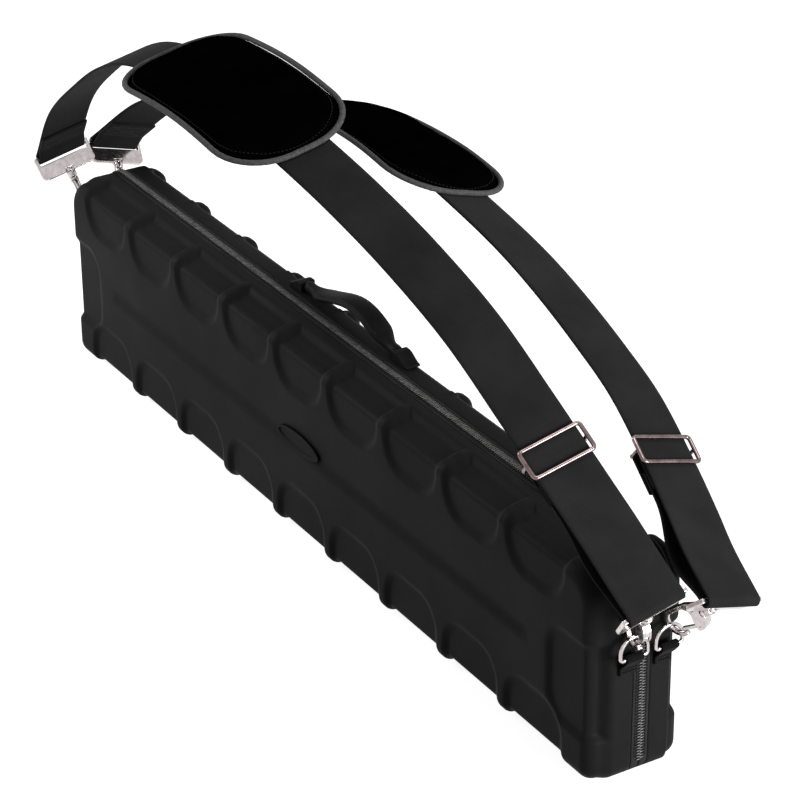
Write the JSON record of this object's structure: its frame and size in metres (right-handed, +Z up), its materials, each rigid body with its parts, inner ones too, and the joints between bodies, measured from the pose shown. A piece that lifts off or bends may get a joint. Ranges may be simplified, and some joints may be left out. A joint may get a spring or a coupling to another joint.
{
  "type": "pool cue case",
  "caption": "Hard two-piece cue case with ribbed edges, perimeter zip, fabric hinge, carrying handle and two padded shoulder straps on swivel hooks.",
  "frame": {"origin": "middle of the case's length, in the plane where the zip closes, at the height of the ribs that it stands on", "axes": "+X along the case towards the end with the zip sliders and strap adjusters, -Y towards the face with the badge, +Z up"},
  "size_m": [0.9971, 0.2665, 0.4249],
  "materials": {
    "shell": "moulded, satin",
    "foam": "flocked foam",
    "band": "woven elastic",
    "tape": "woven tape",
    "teeth": "bright",
    "badge": "satin",
    "handle": "soft, matt",
    "webbing": "woven",
    "pad": "smooth padded cloth",
    "piping": "woven edge binding",
    "steel": "polished",
    "glide": "polished"
  },
  "bodies": {
    "back_half": {"back_shell": "shell", "back_cue_foam": "foam", "elastic_band_far": "band", "elastic_band_near": "band", "back_zip_tape": "tape", "back_zip_teeth": "teeth", "back_hinge_tape": "tape", "handle_anchor_far": "handle", "handle_anchor_near": "handle", "back_ring_tab_far": "webbing", "back_ring_tab_near": "webbing", "back_d_ring_far": "steel", "back_d_ring_near": "steel"},
    "front_half": {"front_shell": "shell", "front_foam_pad": "foam", "front_zip_tape": "tape", "front_zip_teeth": "teeth", "front_hinge_tape": "tape", "oval_badge": "badge", "front_ring_tab_far": "webbing", "front_ring_tab_near": "webbing", "front_d_ring_far": "steel", "front_d_ring_near": "steel"},
    "handle": {"handle_grip": "handle"},
    "slider_far": {"zip_slider_far": "teeth"},
    "slider_near": {"zip_slider_near": "teeth"},
    "pull_far": {"zip_pull_far": "teeth"},
    "pull_near": {"zip_pull_near": "teeth"},
    "front_strap": {"front_strap_webbing": "webbing", "front_shoulder_pad": "pad", "front_pad_piping": "piping", "front_strap_loop_far": "steel", "front_strap_loop_near": "steel"},
    "front_glide": {"front_glide_frame": "glide", "front_glide_bar": "glide", "front_glide_webbing_end": "webbing"},
    "front_hook_far": {"front_hook_far": "steel"},
    "front_hook_near": {"front_hook_near": "steel"},
    "front_gate_far": {"front_hook_gate_far": "steel"},
    "front_gate_near": {"front_hook_gate_near": "steel"},
    "back_strap": {"back_strap_webbing": "webbing", "back_shoulder_pad": "pad", "back_pad_piping": "piping", "back_strap_loop_far": "steel", "back_strap_loop_near": "steel"},
    "back_glide": {"back_glide_frame": "glide", "back_glide_bar": "glide", "back_glide_webbing_end": "webbing"},
    "back_hook_far": {"back_hook_far": "steel"},
    "back_hook_near": {"back_hook_near": "steel"},
    "back_gate_far": {"back_hook_gate_far": "steel"},
    "back_gate_near": {"back_hook_gate_near": "steel"}
  },
  "joints": [
    {"name": "case_opening", "type": "hinge", "parent": "back_half", "child": "front_half", "pos_m": [0, 0, 0], "axis": [1, 0, 0], "range_deg": [0, 175]},
    {"name": "handle_swing", "type": "hinge", "parent": "back_half", "child": "handle", "pos_m": [-0.016, 0.019, 0.19125], "axis": [1, 0, 0], "range_deg": [-35, 10]},
    {"name": "slider_far_travel", "type": "slide", "parent": "back_half", "child": "slider_far", "axis": [1, 0, 0], "range_m": [-0.65, 0]},
    {"name": "slider_near_travel", "type": "slide", "parent": "back_half", "child": "slider_near", "axis": [1, 0, 0], "range_m": [0, 0.06]},
    {"name": "pull_far_flip", "type": "hinge", "parent": "slider_far", "child": "pull_far", "pos_m": [0.307, 0, 0.1907], "axis": [0, 1, 0], "range_deg": [0, 100]},
    {"name": "pull_near_flip", "type": "hinge", "parent": "slider_near", "child": "pull_near", "pos_m": [0.329, 0, 0.1907], "axis": [0, -1, 0], "range_deg": [0, 100]},
    {"name": "front_strap_swing", "type": "hinge", "parent": "front_half", "child": "front_strap", "pos_m": [0, -0.0145, 0.121], "axis": [1, 0, 0], "range_deg": [0, 50]},
    {"name": "back_strap_swing", "type": "hinge", "parent": "back_half", "child": "back_strap", "pos_m": [0, 0.017, 0.121], "axis": [1, 0, 0], "range_deg": [-50, 0]},
    {"name": "front_glide_travel", "type": "slide", "parent": "front_strap", "child": "front_glide", "axis": [0.7967, 0.1257, -0.5911], "range_m": [-0.008, 0.008]},
    {"name": "back_glide_travel", "type": "slide", "parent": "back_strap", "child": "back_glide", "axis": [0.8706, -0.1356, -0.4729], "range_m": [-0.008, 0.008]},
    {"name": "front_hook_far_swivel", "type": "hinge", "parent": "front_strap", "child": "front_hook_far", "pos_m": [-0.47916, -0.02886, 0.18856], "axis": [0.5299, 0.1763, -0.8295], "range_deg": [-40, 25]},
    {"name": "front_hook_near_swivel", "type": "hinge", "parent": "front_strap", "child": "front_hook_near", "pos_m": [0.48493, -0.02802, 0.18461], "axis": [-0.6157, 0.1638, -0.7708], "range_deg": [-40, 25]},
    {"name": "back_hook_far_swivel", "type": "hinge", "parent": "back_strap", "child": "back_hook_far", "pos_m": [-0.49272, 0.03296, 0.17666], "axis": [0.7314, -0.188, -0.6556], "range_deg": [-5, 60]},
    {"name": "back_hook_near_swivel", "type": "hinge", "parent": "back_strap", "child": "back_hook_near", "pos_m": [0.49429, 0.03248, 0.17498], "axis": [-0.7547, -0.1808, -0.6306], "range_deg": [-5, 60]},
    {"name": "front_gate_far_push", "type": "hinge", "parent": "front_hook_far", "child": "front_gate_far", "pos_m": [-0.46474, -0.01878, 0.15013], "axis": [-0.1763, -0.9339, -0.3111], "range_deg": [0, 25], "stiffness_Nm_per_rad": 0.1, "springref_deg": -11.46},
    {"name": "front_gate_near_push", "type": "hinge", "parent": "front_hook_near", "child": "front_gate_near", "pos_m": [0.46644, -0.02196, 0.14709], "axis": [0.1638, 0.9834, 0.0782], "range_deg": [0, 25], "stiffness_Nm_per_rad": 0.1, "springref_deg": -11.46},
    {"name": "back_gate_far_push", "type": "hinge", "parent": "back_hook_far", "child": "back_gate_far", "pos_m": [-0.4676, 0.01885, 0.14572], "axis": [0.3814, -0.6842, 0.6216], "range_deg": [0, 25], "stiffness_Nm_per_rad": 0.1, "springref_deg": -11.46},
    {"name": "back_gate_near_push", "type": "hinge", "parent": "back_hook_near", "child": "back_gate_near", "pos_m": [0.46802, 0.0283, 0.14213], "axis": [-0.3669, 0.9132, 0.1772], "range_deg": [0, 25], "stiffness_Nm_per_rad": 0.1, "springref_deg": -11.46}
  ]
}
